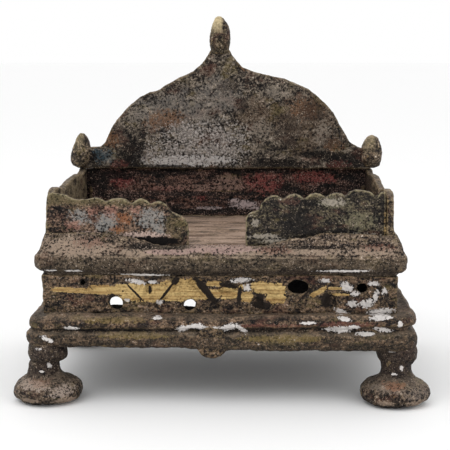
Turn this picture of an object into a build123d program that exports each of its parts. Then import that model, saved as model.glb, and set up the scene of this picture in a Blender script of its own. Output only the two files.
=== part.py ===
"""Miniature brass shrine throne: a moulded, pierced plinth on four turned feet carries a walled seat,
with a scalloped parapet in two halves at the front and an ogee crest plate with three bud finials behind.

The strips, sheets and turned pieces are made apart, then lapped, tenoned, riveted and brazed together.
Millimetres. X runs along the front, +Y to the rear and +Z up; left and right are as seen from the front.
The origin is on the standing plane, under the middle of the plinth.
"""

import os
from math import atan, degrees

from build123d import *

os.makedirs("parts", exist_ok=True)

# ---- Driving dimensions -------------------------------------------------------------------------
seat_width = 110.0          # over the outer faces of the side walls
seat_depth = 76.0           # over the front ends and the rear face of the side walls
braze_gap = 0.05            # joint clearance that the brazing metal fills

side_wall_thickness = 2.8
rear_wall_thickness = 2.8
parapet_thickness = 2.2
parapet_setback = 0.6       # the right side wall's front end stands proud of the parapet by this
crest_thickness = 2.8
seat_thickness = 2.5
frieze_thickness = 2.5

foot_height = 17.5          # standing plane to the plinth's underside
roll_height = 6.0           # the half-round base roll
groove_height = 0.7         # quirk between the roll and the ovolo
ovolo_height = 4.8
frieze_height = 12.0
bead_height = 1.2           # the small square bead under the cornice
cornice_height = 8.4
cove_height = 4.4           # run-up of the cornice against the feet of the walls

frieze_overhang = 1.5       # each member's reach past the walls' outer faces
bead_overhang = 1.9
cornice_overhang = 4.0
ovolo_overhang = 6.4
roll_overhang = 7.0
corner_sharpness = 1.0      # plan corner radius is each member's overhang less this

# ---- Levels -------------------------------------------------------------------------------------
groove_z = foot_height + roll_height
ovolo_z = groove_z + groove_height
frieze_z = ovolo_z + ovolo_height
bead_z = frieze_z + frieze_height
cornice_z = bead_z + bead_height
seat_z = cornice_z + cornice_height  # top of the cornice and of the seat plate, where the walls stand

# ---- Plan ---------------------------------------------------------------------------------------
half_width = seat_width / 2
half_depth = seat_depth / 2
wall_inner_x = half_width - side_wall_thickness
rear_wall_inner_y = half_depth - rear_wall_thickness
parapet_front_y = -half_depth + parapet_setback
parapet_inner_y = parapet_front_y + parapet_thickness
seat_middle_y = (rear_wall_inner_y + parapet_inner_y) / 2
frieze_outer_x = half_width + frieze_overhang
frieze_outer_y = half_depth + frieze_overhang
frieze_inner_x = frieze_outer_x - frieze_thickness
frieze_inner_y = frieze_outer_y - frieze_thickness


def plan(overhang):
    """Rounded rectangle, in the current sketch, that reaches past the walls' outer faces by overhang."""
    RectangleRounded(seat_width + 2 * overhang, seat_depth + 2 * overhang, overhang - corner_sharpness)


def slope(low_reach, high_reach, height):
    """Taper, in degrees, of a member that draws in from low_reach to high_reach as it rises."""
    return degrees(atan((low_reach - high_reach) / height))


def save(part, name):
    """Labels a finished piece and writes its STEP file."""
    part.label = name
    export_step(part, f"parts/{name}.step")


# ---- Base moulding: roll, quirk and ovolo in one casting, with a pad for each foot ------------------
foot_x = half_width + 1.2
foot_y = half_depth + 0.8
foot_places = {
    "front_left_foot": (-foot_x, -foot_y),
    "front_right_foot": (foot_x, -foot_y),
    "rear_left_foot": (-foot_x, foot_y),
    "rear_right_foot": (foot_x, foot_y),
}
tenon_radius = 2.3
rivet_radius = 3.4
rivet_height = 1.4
pad_size = 10.0
pad_thickness = 4.0
pad_corner_radius = 3.0
pad_inset = 1.6             # pad centre, inside the foot's axis
cavity_overhang = 2.4       # the hollow underside, at the roll
lip_thickness = 1.2         # locating lips that stand inside the frieze band
lip_height = 2.0
lip_root = 1.6              # the lips' grip in the moulding below

# Each band of the moulding: foot level, overhang there, top level, overhang there.
base_bands = [
    (foot_height, roll_overhang - 1.0, foot_height + 1.2, roll_overhang),
    (foot_height + 1.2, roll_overhang, groove_z - 1.8, roll_overhang),
    (groove_z - 1.8, roll_overhang, groove_z, roll_overhang - 1.5),
    (groove_z, roll_overhang - 2.0, ovolo_z, roll_overhang - 2.0),
    (ovolo_z, ovolo_overhang, ovolo_z + ovolo_height * 0.5, ovolo_overhang - 0.5),
    (ovolo_z + ovolo_height * 0.5, ovolo_overhang - 0.5, ovolo_z + ovolo_height * 0.85, ovolo_overhang - 2.0),
    (ovolo_z + ovolo_height * 0.85, ovolo_overhang - 2.0, frieze_z, ovolo_overhang - 4.0),
]
frieze_inner_overhang = frieze_overhang - frieze_thickness

with BuildPart() as base_moulding:
    for low_z, low_reach, high_z, high_reach in base_bands:
        with BuildSketch(Plane.XY.offset(low_z)):
            plan(low_reach)
        extrude(amount=high_z - low_z, taper=slope(low_reach, high_reach, high_z - low_z))
    with BuildSketch(Plane.XY.offset(foot_height)):
        plan(cavity_overhang)
    extrude(amount=ovolo_z - foot_height, mode=Mode.SUBTRACT)
    with BuildSketch(Plane.XY.offset(ovolo_z)):
        Rectangle(seat_width + 2 * cavity_overhang, seat_depth + 2 * cavity_overhang)
    cavity_taper = slope(cavity_overhang, frieze_inner_overhang, ovolo_height)
    extrude(amount=ovolo_height, taper=cavity_taper, mode=Mode.SUBTRACT)
    with BuildSketch(Plane.XY.offset(frieze_z - lip_height)):
        Rectangle(2 * (frieze_inner_x + lip_root), 2 * (frieze_inner_y + lip_root))
        Rectangle(2 * (frieze_inner_x - lip_thickness), 2 * (frieze_inner_y - lip_thickness), mode=Mode.SUBTRACT)
    extrude(amount=lip_height)
    with BuildSketch(Plane.XY.offset(frieze_z)):
        Rectangle(2 * (frieze_inner_x - braze_gap), 2 * (frieze_inner_y - braze_gap))
        Rectangle(2 * (frieze_inner_x - lip_thickness), 2 * (frieze_inner_y - lip_thickness), mode=Mode.SUBTRACT)
    extrude(amount=lip_height)
    for x, y in foot_places.values():
        with BuildSketch(Plane.XY.offset(foot_height)):
            with Locations((x - pad_inset * x / abs(x), y - pad_inset * y / abs(y))):
                RectangleRounded(pad_size, pad_size, pad_corner_radius)
        extrude(amount=pad_thickness)
        with BuildSketch(Plane.XY.offset(foot_height)):
            with Locations((x, y)):
                Circle(tenon_radius + braze_gap)
        extrude(amount=pad_thickness, mode=Mode.SUBTRACT)
        with BuildSketch(Plane.XY.offset(foot_height + pad_thickness)):
            with Locations((x, y)):
                Circle(rivet_radius + braze_gap)
        extrude(amount=rivet_height + braze_gap, mode=Mode.SUBTRACT)
save(base_moulding.part, "base_moulding")

# ---- Frieze band: engraved zigzag, with a drilled dot in each triangle -----------------------------
zigzag_pitch = 11.1         # from an upper corner to the next lower one, along the front
zigzag_width = 1.0
zigzag_depth = 0.6
zigzag_margin = 1.2         # the zigzag's corners stop short of the band's edges by this
dot_margin = 3.2            # dot centres, from the band's edges
blind_depth = 1.2
# Each dot along a face, from its left: radius, and whether it is pierced right through.
front_dots = [
    (0.9, True), (1.9, True), (1.0, False), (1.8, True), (1.3, False),
    (2.1, False), (2.6, True), (1.8, False), (1.3, True),
]
side_dots = [(1.0, False), (1.5, True), (1.2, False), (1.7, True), (1.2, False), (1.5, True), (1.0, False)]

frieze_middle_z = frieze_z + frieze_height / 2
front_face = Plane(origin=(0, -frieze_outer_y, frieze_middle_z), x_dir=(1, 0, 0), z_dir=(0, -1, 0))
left_face = Plane(origin=(-frieze_outer_x, 0, frieze_middle_z), x_dir=(0, -1, 0), z_dir=(-1, 0, 0))
right_face = Plane(origin=(frieze_outer_x, 0, frieze_middle_z), x_dir=(0, 1, 0), z_dir=(1, 0, 0))
zigzag_crest = frieze_height / 2 - zigzag_margin
dot_offset = frieze_height / 2 - dot_margin

with BuildPart() as frieze_band:
    with BuildSketch(Plane.XY.offset(frieze_z)):
        plan(frieze_overhang)
        Rectangle(2 * frieze_inner_x, 2 * frieze_inner_y, mode=Mode.SUBTRACT)
    extrude(amount=frieze_height)
    for face, dots in ((front_face, front_dots), (left_face, side_dots), (right_face, side_dots)):
        columns = [zigzag_pitch * (i - (len(dots) - 1) / 2) for i in range(-1, len(dots) + 1)]
        with BuildSketch(face):
            with BuildLine():
                Polyline(*[(x, -zigzag_crest if i % 2 else zigzag_crest) for i, x in enumerate(columns)])
            trace(line_width=zigzag_width)
        extrude(amount=-zigzag_depth, mode=Mode.SUBTRACT)
        for i, (radius, pierced) in enumerate(dots):
            with BuildSketch(face):
                with Locations((columns[i + 1], -dot_offset if i % 2 else dot_offset)):
                    Circle(radius)
            extrude(amount=-frieze_thickness if pierced else -blind_depth, mode=Mode.SUBTRACT)
save(frieze_band.part, "frieze_band")

# ---- Cornice moulding: bead, bold ovolo and cove, with a ledge that carries the seat plate ----------
ledge_width = 4.0
ledge_thickness = 2.0
ledge_z = seat_z - seat_thickness - ledge_thickness
belly_height = 3.4          # of the cornice's widest part, above the bead
cove_overhang = 2.9         # at the seat's level
cove_top_overhang = 1.3
cove_gap_left_x = -14.0     # the cove dies away towards the open front
cove_gap_right_x = 11.0
cove_fade = 22.0

cornice_bands = [
    (bead_z, bead_overhang, cornice_z, bead_overhang),
    (cornice_z, bead_overhang + 0.3, cornice_z + belly_height * 0.5, cornice_overhang - 0.5),
    (cornice_z + belly_height * 0.5, cornice_overhang - 0.5, cornice_z + belly_height, cornice_overhang),
    (cornice_z + belly_height, cornice_overhang, cornice_z + belly_height * 2, cornice_overhang - 0.3),
    (cornice_z + belly_height * 2, cornice_overhang - 0.3, seat_z, cove_overhang),
    (seat_z, cove_overhang, seat_z + cove_height, cove_top_overhang),
]

with BuildPart() as cornice_moulding:
    for low_z, low_reach, high_z, high_reach in cornice_bands:
        with BuildSketch(Plane.XY.offset(low_z)):
            plan(low_reach)
        extrude(amount=high_z - low_z, taper=slope(low_reach, high_reach, high_z - low_z))
    with BuildSketch(Plane.XY.offset(seat_z)):
        Rectangle(seat_width + 2 * braze_gap, seat_depth + 2 * braze_gap)
    extrude(amount=cove_height, mode=Mode.SUBTRACT)
    with BuildSketch(Plane.XZ.offset(half_depth)):
        Polygon(
            (cove_gap_left_x - cove_fade, seat_z + cove_height),
            (cove_gap_left_x, seat_z),
            (cove_gap_right_x, seat_z),
            (cove_gap_right_x + cove_fade, seat_z + cove_height),
            align=None,
        )
    extrude(amount=cornice_overhang, mode=Mode.SUBTRACT)
    with BuildSketch(Plane.XY.offset(bead_z)):
        Rectangle(2 * frieze_inner_x, 2 * frieze_inner_y)
    extrude(amount=ledge_z - bead_z, mode=Mode.SUBTRACT)
    with BuildSketch(Plane.XY.offset(ledge_z)):
        with Locations((0, seat_middle_y)):
            Rectangle(2 * (wall_inner_x - ledge_width), rear_wall_inner_y - parapet_inner_y - 2 * ledge_width)
    extrude(amount=ledge_thickness, mode=Mode.SUBTRACT)
    with BuildSketch(Plane.XY.offset(seat_z - seat_thickness)):
        with Locations((0, seat_middle_y)):
            Rectangle(2 * wall_inner_x, rear_wall_inner_y - parapet_inner_y)
    extrude(amount=seat_thickness, mode=Mode.SUBTRACT)
    with BuildSketch(Plane.XY.offset(bead_z)):
        Rectangle(2 * (frieze_inner_x - braze_gap), 2 * (frieze_inner_y - braze_gap))
        Rectangle(2 * (frieze_inner_x - lip_thickness), 2 * (frieze_inner_y - lip_thickness), mode=Mode.SUBTRACT)
    extrude(amount=-lip_height)
    with BuildSketch(Plane.XY.offset(bead_z)):
        Rectangle(2 * frieze_inner_x, 2 * frieze_inner_y)
        Rectangle(2 * (frieze_inner_x - lip_thickness), 2 * (frieze_inner_y - lip_thickness), mode=Mode.SUBTRACT)
    extrude(amount=lip_height)
save(cornice_moulding.part, "cornice_moulding")

# ---- Seat plate, with its corners clipped for the brazing -------------------------------------------
inner_bead = 1.5            # legs of the brazed beads in the inner corners
seat_corner_clip = inner_bead + 0.1

with BuildPart() as seat_plate:
    with BuildSketch(Plane.XY.offset(seat_z - seat_thickness)) as seat_outline:
        with Locations((0, seat_middle_y)):
            Rectangle(2 * (wall_inner_x - braze_gap), rear_wall_inner_y - parapet_inner_y - 2 * braze_gap)
        chamfer(seat_outline.vertices(), length=seat_corner_clip)
    extrude(amount=seat_thickness)
save(seat_plate.part, "seat_plate")

# ---- Side walls: a short lobe at the front, then one long lobe to the rear --------------------------
side_wall_height = 16.6     # at the corners
side_lobe_rise = 0.9        # each lobe's crown, above the corners
side_notch_y = -15.0        # notch between the lobes
side_notch_drop = 1.6
side_wall_z = seat_z + side_wall_height

# The left wall stops behind the left parapet; the right wall runs on past the end of the right one.
for name, side, front_y in (
    ("left_side_wall", -1, parapet_inner_y + braze_gap),
    ("right_side_wall", 1, -half_depth),
):
    with BuildPart() as side_wall:
        with BuildSketch(Plane.YZ.offset(side * (half_width - side_wall_thickness / 2))):
            with BuildLine():
                notch = (side_notch_y, side_wall_z - side_notch_drop)
                front_top = (front_y, side_wall_z - 0.6)
                rear_top = (half_depth, side_wall_z - 0.3)
                Polyline(front_top, (front_y, seat_z), (half_depth, seat_z), rear_top)
                ThreePointArc(rear_top, ((half_depth + side_notch_y) / 2, side_wall_z + side_lobe_rise), notch)
                ThreePointArc(notch, ((side_notch_y + front_y) / 2, side_wall_z + side_lobe_rise), front_top)
            make_face()
        extrude(amount=side_wall_thickness / 2, both=True)
    save(side_wall.part, name)

# ---- Rear wall, which runs up behind the crest plate as a lap joint ----------------------------------
crest_lap = 6.5
lap_inset = 2.0             # the lap's ends are cut in to clear the shoulder finials
crest_z = seat_z + 17.7     # the crest plate's lower edge, just clear of the side walls

with BuildPart() as rear_wall:
    with BuildSketch(Plane.XZ.offset(-half_depth)):
        with Locations((0, (seat_z + crest_z) / 2)):
            Rectangle(2 * (wall_inner_x - braze_gap), crest_z - seat_z)
        with Locations((0, crest_z + crest_lap / 2)):
            Rectangle(2 * (wall_inner_x - lap_inset), crest_lap)
    extrude(amount=rear_wall_thickness)
save(rear_wall.part, "rear_wall")

# ---- Front parapets: scalloped sheets that step down to a rounded shoulder beside the gap ------------
gap_left_x = -10.2
gap_right_x = 8.0
scallop_count = 6
scallop_rise = 1.6

# Each half: outer end, gap end, height at the gap and at the outer end, then its shoulder's height and width.
parapets = {
    "left_parapet": (-half_width, gap_left_x, 14.6, 16.0, 9.9, 6.4),
    "right_parapet": (wall_inner_x - braze_gap, gap_right_x, 16.0, 18.4, 11.3, 4.6),
}

for name, (end_x, gap_x, near_height, far_height, shoulder_height, shoulder_width) in parapets.items():
    side = 1 if end_x > 0 else -1
    step_x = gap_x + side * shoulder_width
    dips = [
        (
            step_x + (end_x - step_x) * i / scallop_count,
            seat_z + near_height + (far_height - near_height) * i / scallop_count - scallop_rise,
        )
        for i in range(scallop_count + 1)
    ]
    shoulder_end = (gap_x, seat_z + shoulder_height - shoulder_width * 0.6)
    shoulder_bulge = (gap_x + side * shoulder_width * 0.22, seat_z + shoulder_height - shoulder_width * 0.16)
    shoulder_top = (step_x, seat_z + shoulder_height)
    with BuildPart() as parapet:
        with BuildSketch(Plane.XZ.offset(-parapet_inner_y)):
            with BuildLine():
                Polyline(dips[-1], (end_x, seat_z), (gap_x, seat_z), shoulder_end)
                ThreePointArc(shoulder_end, shoulder_bulge, shoulder_top)
                Line(shoulder_top, dips[0])
                for near, far in zip(dips, dips[1:]):
                    crown = ((near[0] + far[0]) / 2, (near[1] + far[1]) / 2 + scallop_rise)
                    ThreePointArc(near, crown, far)
            make_face()
        extrude(amount=parapet_thickness)
    save(parapet.part, name)

# ---- Crest plate: ogee gable in front of the rear wall's top -----------------------------------------
crest_middle_y = rear_wall_inner_y - crest_thickness / 2
crest_half_width = half_width - 0.8
shoulder_rise = 8.2         # lower edge to the level shoulders
crest_height = 44.4         # lower edge to the neck under the central finial
shoulder_z = crest_z + shoulder_rise
neck_z = crest_z + crest_height
neck_x = -2.8               # the peak stands a little left of the middle
neck_half_width = 3.4
shoulder_flat = 6.0         # level stretch beside each shoulder finial
tongue_width = 3.4
tongue_thickness = 1.6
tongue_height = 3.0
# Each flank, from shoulder to neck, as shares of the shoulder-to-neck run and rise.
left_flank = [
    (0.0, 0.0), (0.11, 0.205), (0.186, 0.359), (0.277, 0.463), (0.458, 0.57), (0.73, 0.715), (0.90, 0.84), (1.0, 1.0),
]
right_flank = [
    (0.0, 0.0), (0.111, 0.148), (0.237, 0.416), (0.323, 0.529), (0.455, 0.631), (0.685, 0.744), (0.88, 0.823),
    (1.0, 1.0),
]


def flank(side, shares):
    """Points of one flank's curve, from the shoulder up to the neck."""
    foot_at = side * (crest_half_width - shoulder_flat)
    neck_at = neck_x + side * neck_half_width
    return [(foot_at + (neck_at - foot_at) * run, shoulder_z + (neck_z - shoulder_z) * rise) for run, rise in shares]


with BuildPart() as crest_plate:
    with BuildSketch(Plane.XZ.offset(-rear_wall_inner_y)):
        with BuildLine():
            left_curve = flank(-1, left_flank)
            right_curve = flank(1, right_flank)
            Polyline(
                left_curve[0],
                (-crest_half_width, shoulder_z),
                (-crest_half_width, crest_z),
                (crest_half_width, crest_z),
                (crest_half_width, shoulder_z),
                right_curve[0],
            )
            Spline(*right_curve)
            Line(right_curve[-1], left_curve[-1])
            Spline(*left_curve)
        make_face()
    extrude(amount=crest_thickness)
    with BuildSketch(Plane.XY.offset(neck_z)):
        with Locations((neck_x, crest_middle_y)):
            Rectangle(tongue_width, tongue_thickness)
    extrude(amount=tongue_height)
save(crest_plate.part, "crest_plate")

# ---- Bud finials -------------------------------------------------------------------------------------
finial_height = 12.7
finial_radius = 3.8
finial_foot_radius = 3.2
shoulder_finial_height = 12.4
shoulder_finial_drop = 7.2  # the bud hangs below the shoulder's top by this
shoulder_finial_x = half_width - 0.2


def bud(x, foot_z, height, foot_radius, belly):
    """Solid of revolution that swells to finial_radius at that share of its height, then runs to a point."""
    with BuildPart() as turned:
        with BuildSketch(Plane.XZ.offset(-crest_middle_y)):
            with BuildLine():
                Spline(
                    (x + foot_radius, foot_z),
                    (x + finial_radius, foot_z + height * belly),
                    (x + finial_radius * 0.6, foot_z + height * (0.45 + belly * 0.85)),
                    (x, foot_z + height),
                )
                Polyline((x, foot_z + height), (x, foot_z), (x + foot_radius, foot_z))
            make_face()
        revolve(axis=Axis((x, crest_middle_y, 0), (0, 0, 1)))
    return turned.part


with BuildPart() as crest_finial:
    add(bud(neck_x, neck_z, finial_height, finial_foot_radius, 0.33))
    with BuildSketch(Plane.XY.offset(neck_z)):
        with Locations((neck_x, crest_middle_y)):
            Rectangle(tongue_width + 2 * braze_gap, tongue_thickness + 2 * braze_gap)
    extrude(amount=tongue_height + braze_gap, mode=Mode.SUBTRACT)
save(crest_finial.part, "crest_finial")

slot_height = shoulder_z + braze_gap - crest_z
for name, side, belly in (("left_shoulder_finial", -1, 0.34), ("right_shoulder_finial", 1, 0.42)):
    with BuildPart() as shoulder_finial:
        foot_z = shoulder_z - shoulder_finial_drop
        add(bud(side * shoulder_finial_x, foot_z, shoulder_finial_height, 1.4, belly))
        slot_end = side * (crest_half_width + braze_gap)
        with Locations((slot_end - side * finial_radius, crest_middle_y, crest_z + slot_height / 2)):
            Box(2 * finial_radius, crest_thickness + 2 * braze_gap, slot_height, mode=Mode.SUBTRACT)
    save(shoulder_finial.part, name)

# ---- Feet: a broad bell, a waisted stem and a collar; the tenon is riveted over inside the plinth -----
foot_radius = 11.4
sole_radius = 9.8
rim_height = 2.2
stem_radius = 4.9
stem_foot_z = 7.4
collar_radius = 6.4
collar_height = 3.4

with BuildPart() as foot_blank:
    with BuildSketch(Plane.XZ):
        with BuildLine():
            ThreePointArc((sole_radius, 0), (foot_radius, rim_height), (foot_radius - 1.7, rim_height + 2.4))
            Spline(
                (foot_radius - 1.7, rim_height + 2.4),
                (stem_radius + 1.3, stem_foot_z - 1.0),
                (stem_radius, stem_foot_z + 1.6),
                tangents=[(-1.0, 0.55), (0, 1.0)],
            )
            Line((stem_radius, stem_foot_z + 1.6), (stem_radius, foot_height - collar_height))
            ThreePointArc(
                (stem_radius, foot_height - collar_height),
                (collar_radius, foot_height - collar_height * 0.45),
                (collar_radius - 0.5, foot_height),
            )
            Polyline(
                (collar_radius - 0.5, foot_height),
                (tenon_radius, foot_height),
                (tenon_radius, foot_height + pad_thickness),
                (0, foot_height + pad_thickness),
                (0, 0),
                (sole_radius, 0),
            )
        make_face()
    revolve(axis=Axis.Z)
    with Locations((0, 0, foot_height + pad_thickness)):
        Cylinder(rivet_radius, rivet_height, align=(Align.CENTER, Align.CENTER, Align.MIN))
    fillet(foot_blank.edges().group_by(Axis.Z)[-1], radius=rivet_height * 0.7)

for name, (x, y) in foot_places.items():
    save(foot_blank.part.moved(Location((x, y, 0))), name)

# ---- Pendant boss: a round tab brazed under the front roll ---------------------------------------------
boss_radius = 5.0
boss_thickness = 3.0
boss_proud = 0.3            # past the roll's face
boss_drop = 2.2             # below the roll's underside
boss_x = neck_x

with BuildPart() as pendant_boss:
    with BuildSketch(Plane.XZ.offset(half_depth + roll_overhang + boss_proud - boss_thickness)):
        with Locations((boss_x, foot_height - boss_drop + boss_radius)):
            Circle(boss_radius)
    extrude(amount=boss_thickness)
    fillet(pendant_boss.edges().group_by(Axis.Y)[0], radius=boss_thickness * 0.3)
    add(base_moulding.part, mode=Mode.SUBTRACT)
save(pendant_boss.part, "pendant_boss")

# ---- Brazing: beads of brass spelter up the four inner corners and the right front joint ---------------
bead_length = 12.0          # above the seat

with BuildPart() as corner_braze:
    for side in (-1, 1):
        for corner_y, inward in ((parapet_inner_y, 1), (rear_wall_inner_y, -1)):
            corner_x = side * wall_inner_x
            along_wall = (corner_x, corner_y + inward * inner_bead)
            across_wall = (corner_x - side * inner_bead, corner_y)
            hollow = (corner_x - side * inner_bead * 0.38, corner_y + inward * inner_bead * 0.38)
            with BuildSketch(Plane.XY.offset(seat_z - seat_thickness)):
                with BuildLine():
                    Polyline(across_wall, (corner_x, corner_y), along_wall)
                    ThreePointArc(along_wall, hollow, across_wall)
                make_face()
            extrude(amount=seat_thickness + bead_length)
    with BuildSketch(Plane.XY.offset(seat_z)):
        with BuildLine():
            Polyline(
                (wall_inner_x, parapet_front_y),
                (wall_inner_x, -half_depth),
                (wall_inner_x - parapet_setback * 2, parapet_front_y),
                close=True,
            )
        make_face()
    extrude(amount=bead_length)
save(corner_braze.part, "corner_braze")
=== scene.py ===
"""Looks of a small, old, hand-made brass shrine throne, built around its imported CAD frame."""

import math

import bmesh
import bpy
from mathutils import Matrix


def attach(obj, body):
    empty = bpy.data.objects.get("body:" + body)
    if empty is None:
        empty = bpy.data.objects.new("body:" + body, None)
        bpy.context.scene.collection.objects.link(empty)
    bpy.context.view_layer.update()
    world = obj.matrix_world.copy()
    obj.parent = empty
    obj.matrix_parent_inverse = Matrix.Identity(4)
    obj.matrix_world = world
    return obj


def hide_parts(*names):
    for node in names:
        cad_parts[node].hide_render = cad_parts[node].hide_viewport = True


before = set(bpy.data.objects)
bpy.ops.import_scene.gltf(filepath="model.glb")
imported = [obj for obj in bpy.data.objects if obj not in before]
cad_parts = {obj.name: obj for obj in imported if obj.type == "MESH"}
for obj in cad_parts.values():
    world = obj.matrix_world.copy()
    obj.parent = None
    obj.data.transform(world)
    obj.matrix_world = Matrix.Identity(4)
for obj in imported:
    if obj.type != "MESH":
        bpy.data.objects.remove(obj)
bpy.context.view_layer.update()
bpy.ops.object.select_all(action="DESELECT")
bpy.context.scene.view_settings.view_transform = "Standard"

# ---- Base moulding ----------------------------------------------------------------------------------
# The lowest member of the plinth: a half-round roll, a sunk quirk and an ovolo, lost-wax cast in one
# hollow piece that is open below. Its skin is lumpy and pitted, dark with age and handling, and splashed
# with white lime where water has dried.
MM = 0.001
HALF_WIDTH, HALF_DEPTH = 55.0, 38.0  # to the walls' outer faces, in millimetres
WAVER_SIZE, WAVER_HEIGHT = 34, 1.5  # the slow unevenness of the whole casting, in millimetres
CLOSE = 1e-6  # metres within which points are taken to lie on a cutting plane


def edit_new(name):
    """Names the primitive just added and opens it for editing, with all of it selected."""
    piece = bpy.context.object
    piece.name = name
    bpy.ops.object.transform_apply(location=True, rotation=True, scale=True)
    bpy.ops.object.mode_set(mode="EDIT")
    bpy.ops.mesh.select_all(action="SELECT")
    return piece


def draw_ring(name, profile, corner):
    """Draws a closed rectangular moulding: profile is (reach past the walls, level) round its section."""
    reach, level = profile[0]
    bpy.ops.mesh.primitive_plane_add(size=1, location=(0, 0, level * MM))
    bpy.context.object.scale = (2 * (HALF_WIDTH + reach) * MM, 2 * (HALF_DEPTH + reach) * MM, 1)
    ring = edit_new(name)
    bpy.ops.mesh.bevel(affect="VERTICES", offset=corner * MM, segments=4)
    bpy.ops.mesh.delete(type="ONLY_FACE")
    bpy.ops.mesh.select_all(action="SELECT")
    for (from_reach, from_level), (reach, level) in zip(profile, profile[1:] + profile[:1]):
        bpy.ops.mesh.extrude_region_move(TRANSFORM_OT_translate={"value": (0, 0, (level - from_level) * MM)})
        wider = (HALF_WIDTH + reach) / (HALF_WIDTH + from_reach)
        deeper = (HALF_DEPTH + reach) / (HALF_DEPTH + from_reach)
        bpy.ops.transform.resize(value=(wider, deeper, 1), center_override=(0, 0, level * MM))
    bpy.ops.mesh.select_all(action="SELECT")
    bpy.ops.mesh.remove_doubles(threshold=0.02 * MM)
    bpy.ops.mesh.normals_make_consistent(inside=False)
    bpy.ops.object.mode_set(mode="OBJECT")
    return ring


def apply_modifier(piece, kind, **settings):
    """Adds a modifier with these settings and applies it."""
    bpy.context.view_layer.objects.active = piece
    modifier = piece.modifiers.new(kind.title(), kind)
    for name, value in settings.items():
        setattr(modifier, name, value)
    bpy.ops.object.modifier_apply(modifier=modifier.name)


def cast_skin(piece, fineness, lumps):
    """Gives the piece an even skin of that fineness, then the waver and lumps of a hand casting.
    lumps is (size, height) of each, in millimetres. The slow waver is shared, so that joints stay shut."""
    apply_modifier(piece, "REMESH", mode="VOXEL", voxel_size=fineness * MM)
    apply_modifier(piece, "SMOOTH", factor=0.5, iterations=3)
    waver = bpy.data.textures.new("waver", "CLOUDS")
    waver.noise_scale = WAVER_SIZE * MM
    waver.cloud_type = "COLOR"
    strength = WAVER_HEIGHT * MM
    apply_modifier(piece, "DISPLACE", texture=waver, direction="RGB_TO_XYZ", strength=strength, mid_level=0.5)
    for size, height in lumps:
        lump = bpy.data.textures.new("lump", "CLOUDS")
        lump.noise_scale = size * MM
        lump.noise_depth = 1
        strength = height * MM
        apply_modifier(piece, "DISPLACE", texture=lump, direction="NORMAL", strength=strength, mid_level=0.5)
    bpy.context.view_layer.objects.active = piece
    piece.select_set(True)
    bpy.ops.object.shade_smooth()
    piece.select_set(False)


class Wire:
    """A shader socket that takes part in plain arithmetic: each sum adds its own node."""

    def __init__(self, tree, socket=None):
        self.tree, self.socket = tree, socket

    def node(self, kind, sockets, output=0, stops=None, **settings):
        """Adds a node: its settings first, then the values or wires of its sockets. Gives one output."""
        made = self.tree.nodes.new(kind)
        for name, value in settings.items():
            setattr(made, name, value)
        for place, colour in stops or []:
            made.color_ramp.elements.new(place).color = colour
        for name, value in sockets.items():
            if isinstance(value, Wire):
                self.tree.links.new(value.socket, made.inputs[name])
            else:
                made.inputs[name].default_value = value
        return Wire(self.tree, made.outputs[output] if len(made.outputs) else None)

    def maths(self, operation, other=0.0):
        return self.node("ShaderNodeMath", {0: self, 1: other}, operation=operation)

    def __add__(self, other):
        return self.maths("ADD", other)

    def __sub__(self, other):
        return self.maths("SUBTRACT", other)

    def __mul__(self, other):
        return self.maths("MULTIPLY", other)

    def __truediv__(self, other):
        return self.maths("DIVIDE", other)

    def __rsub__(self, other):
        return self.node("ShaderNodeMath", {0: other, 1: self}, operation="SUBTRACT")

    __radd__, __rmul__ = __add__, __mul__

    def rising(self, low, high):
        """0 below low, 1 above high, smooth between; low may be the larger."""
        sockets = {"Value": self, "From Min": low, "From Max": high}
        return self.node("ShaderNodeMapRange", sockets, interpolation_type="SMOOTHSTEP")

    def painted(self, colour, mask):
        """This colour, covered by another where mask is 1."""
        return self.node("ShaderNodeMix", {0: mask, 6: self, 7: colour}, output=2, data_type="RGBA")

    def grain(self, size, detail=3.0, rough=0.6, squash=(1, 1, 1), output=0):
        """Cloudy noise over this place, of that size in millimetres; squash stretches it along an axis."""
        scale = [each / size for each in squash]
        sockets = {"Vector": self, "Scale": scale, "Location": (size, 3.7, 7.1)}
        spread = self.node("ShaderNodeMapping", sockets)
        sockets = {"Vector": spread, "Scale": 1.0, "Detail": detail, "Roughness": rough}
        return self.node("ShaderNodeTexNoise", sockets, output=output)


def paint(red, green, blue):
    """Linear colour of an sRGB colour given as 0 to 255."""
    shares = [value / 255 for value in (red, green, blue)]
    return (*(share / 12.92 if share <= 0.04045 else ((share + 0.055) / 1.055) ** 2.4 for share in shares), 1)


def cover(surface, mask, colour=None, rough=None, metal=None, lift=0.0):
    """Lays another finish over a surface where mask is 1; lift raises it, in millimetres."""
    if colour is not None:
        surface["colour"] = surface["colour"].painted(colour, mask)
    if rough is not None:
        surface["rough"] = surface["rough"] + mask * (rough - surface["rough"])
    if metal is not None:
        surface["metal"] = surface["metal"] + mask * (metal - surface["metal"])
    if lift:
        surface["lift"] = surface["lift"] + mask * lift


def patches(surface, spots, ragged=1.0, size=3.0, soft=0.5, power=2):
    """Mask of ragged patches on the face. Each spot is its centre across and up, its half width and half
    height, and its tilt in degrees if it has one. A power of 2 makes them oval, a higher one squarer."""
    field = None
    for across, up, half_width, half_height, *tilt in spots:
        turned = math.radians(tilt[0]) if tilt else 0.0
        over, high = surface["x"] - across, surface["z"] - up
        if turned:
            along = over * math.cos(turned) + high * math.sin(turned)
            high = high * math.cos(turned) - over * math.sin(turned)
            over = along
        over, high = (over / half_width).maths("ABSOLUTE"), (high / half_height).maths("ABSOLUTE")
        inside = 1.0 - over.maths("POWER", power) - high.maths("POWER", power)
        field = inside if field is None else field.maths("MAXIMUM", inside)
    torn = surface["place"].grain(size, 4.0, 0.75) * 5.0 + surface["fine"] * 2.5 - 3.75
    mask = (field.maths("MAXIMUM", -2.5) + torn * ragged).rising(0.0, soft)
    return mask * surface["y"].rising(*surface["face"])


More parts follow.
